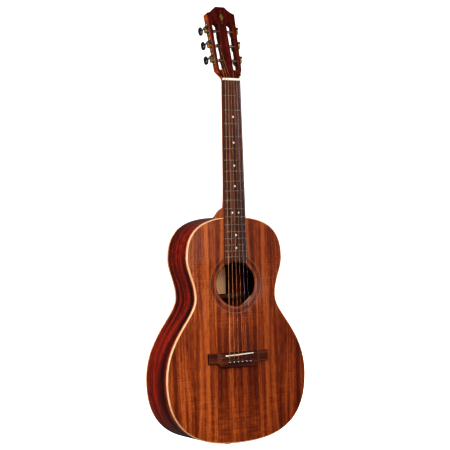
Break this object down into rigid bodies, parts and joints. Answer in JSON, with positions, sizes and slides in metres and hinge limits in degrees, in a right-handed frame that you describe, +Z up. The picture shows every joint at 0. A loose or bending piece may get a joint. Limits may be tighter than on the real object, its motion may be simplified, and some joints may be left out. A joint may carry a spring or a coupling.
{
  "type": "parlour guitar",
  "caption": "Small-bodied steel-string acoustic guitar with a slotted head, geared tuners, pin bridge and round soundhole.",
  "frame": {"origin": "centre of the strap button's outer end face at the tail of the body", "axes": "+Z up along the neck, +X to the player's treble side, +Y from the soundboard to the back"},
  "size_m": [0.36, 0.1204, 0.9901],
  "materials": {
    "top_mahogany": "satin lacquer",
    "side_mahogany": "gloss lacquer",
    "maple_binding": "satin lacquer",
    "inner_wood": "bare wood",
    "spruce_brace": "bare wood",
    "rosette_fibre": "satin",
    "neck_mahogany": "satin lacquer",
    "rosewood": "oiled",
    "head_veneer": "gloss lacquer",
    "rod_steel": "plain",
    "fret_wire": "polished",
    "shell": "polished",
    "bone": "polished",
    "black_plastic": "gloss",
    "aged_nickel": "aged",
    "gear_brass": "satin",
    "roller_nickel": "polished",
    "bronze_string": "bright",
    "plain_string": "polished"
  },
  "bodies": {
    "root": {"soundboard": "top_mahogany", "back": "side_mahogany", "side_bass": "side_mahogany", "side_treble": "side_mahogany", "top_binding": "maple_binding", "back_binding": "maple_binding", "linings": "inner_wood", "neck_block": "inner_wood", "tail_block": "inner_wood", "top_braces": "spruce_brace", "back_braces": "spruce_brace", "bridge_plate": "inner_wood", "rosette": "rosette_fibre", "neck": "neck_mahogany", "heel_cap": "rosewood", "headstock": "neck_mahogany", "head_veneer": "head_veneer", "truss_rod": "rod_steel", "fingerboard": "rosewood", "frets": "fret_wire", "inlays": "shell", "nut": "bone", "saddle": "bone", "bridge": "rosewood", "bridge_pins": "black_plastic", "strap_button": "black_plastic", "tuner_plates": "aged_nickel", "tuner_screws": "aged_nickel", "wound_strings": "bronze_string", "plain_strings": "plain_string"},
    "roller_1": {"roller_1": "roller_nickel", "gear_1": "gear_brass", "winding_1": "plain_string"},
    "worm_1": {"worm_1": "aged_nickel", "button_1": "black_plastic"},
    "roller_2": {"roller_2": "roller_nickel", "gear_2": "gear_brass", "winding_2": "plain_string"},
    "worm_2": {"worm_2": "aged_nickel", "button_2": "black_plastic"},
    "roller_3": {"roller_3": "roller_nickel", "gear_3": "gear_brass", "winding_3": "bronze_string"},
    "worm_3": {"worm_3": "aged_nickel", "button_3": "black_plastic"},
    "roller_4": {"roller_4": "roller_nickel", "gear_4": "gear_brass", "winding_4": "bronze_string"},
    "worm_4": {"worm_4": "aged_nickel", "button_4": "black_plastic"},
    "roller_5": {"roller_5": "roller_nickel", "gear_5": "gear_brass", "winding_5": "bronze_string"},
    "worm_5": {"worm_5": "aged_nickel", "button_5": "black_plastic"},
    "roller_6": {"roller_6": "roller_nickel", "gear_6": "gear_brass", "winding_6": "bronze_string"},
    "worm_6": {"worm_6": "aged_nickel", "button_6": "black_plastic"}
  },
  "joints": [
    {"name": "roller_1_turn", "type": "hinge", "parent": "root", "child": "roller_1", "pos_m": [0.03176, -0.03632, 0.86507], "axis": [0.9994, -0.0086, -0.0337], "continuous": true},
    {"name": "worm_1_turn", "type": "hinge", "parent": "root", "child": "worm_1", "pos_m": [0.03823, -0.0344, 0.87261], "axis": [0, 0.969, -0.247], "continuous": true},
    {"name": "roller_2_turn", "type": "hinge", "parent": "root", "child": "roller_2", "pos_m": [0.03298, -0.02768, 0.89899], "axis": [0.9994, -0.0086, -0.0337], "continuous": true},
    {"name": "worm_2_turn", "type": "hinge", "parent": "root", "child": "worm_2", "pos_m": [0.03945, -0.02576, 0.90652], "axis": [0, 0.969, -0.247], "continuous": true},
    {"name": "roller_3_turn", "type": "hinge", "parent": "root", "child": "roller_3", "pos_m": [0.03419, -0.01903, 0.9329], "axis": [0.9994, -0.0086, -0.0337], "continuous": true},
    {"name": "worm_3_turn", "type": "hinge", "parent": "root", "child": "worm_3", "pos_m": [0.04067, -0.01711, 0.94044], "axis": [0, 0.969, -0.247], "continuous": true},
    {"name": "roller_4_turn", "type": "hinge", "parent": "root", "child": "roller_4", "pos_m": [-0.03419, -0.01903, 0.9329], "axis": [0.9994, 0.0086, 0.0337], "continuous": true},
    {"name": "worm_4_turn", "type": "hinge", "parent": "root", "child": "worm_4", "pos_m": [-0.04067, -0.01711, 0.94044], "axis": [0, -0.969, 0.247], "continuous": true},
    {"name": "roller_5_turn", "type": "hinge", "parent": "root", "child": "roller_5", "pos_m": [-0.03298, -0.02768, 0.89899], "axis": [0.9994, 0.0086, 0.0337], "continuous": true},
    {"name": "worm_5_turn", "type": "hinge", "parent": "root", "child": "worm_5", "pos_m": [-0.03945, -0.02576, 0.90652], "axis": [0, -0.969, 0.247], "continuous": true},
    {"name": "roller_6_turn", "type": "hinge", "parent": "root", "child": "roller_6", "pos_m": [-0.03176, -0.03632, 0.86507], "axis": [0.9994, 0.0086, 0.0337], "continuous": true},
    {"name": "worm_6_turn", "type": "hinge", "parent": "root", "child": "worm_6", "pos_m": [-0.03823, -0.0344, 0.87261], "axis": [0, -0.969, 0.247], "continuous": true}
  ],
  "couplings": [
    {"joint": "worm_1_turn", "follows": "roller_1_turn", "ratio": 14},
    {"joint": "worm_2_turn", "follows": "roller_2_turn", "ratio": 14},
    {"joint": "worm_3_turn", "follows": "roller_3_turn", "ratio": 14},
    {"joint": "worm_4_turn", "follows": "roller_4_turn", "ratio": 14},
    {"joint": "worm_5_turn", "follows": "roller_5_turn", "ratio": 14},
    {"joint": "worm_6_turn", "follows": "roller_6_turn", "ratio": 14}
  ]
}
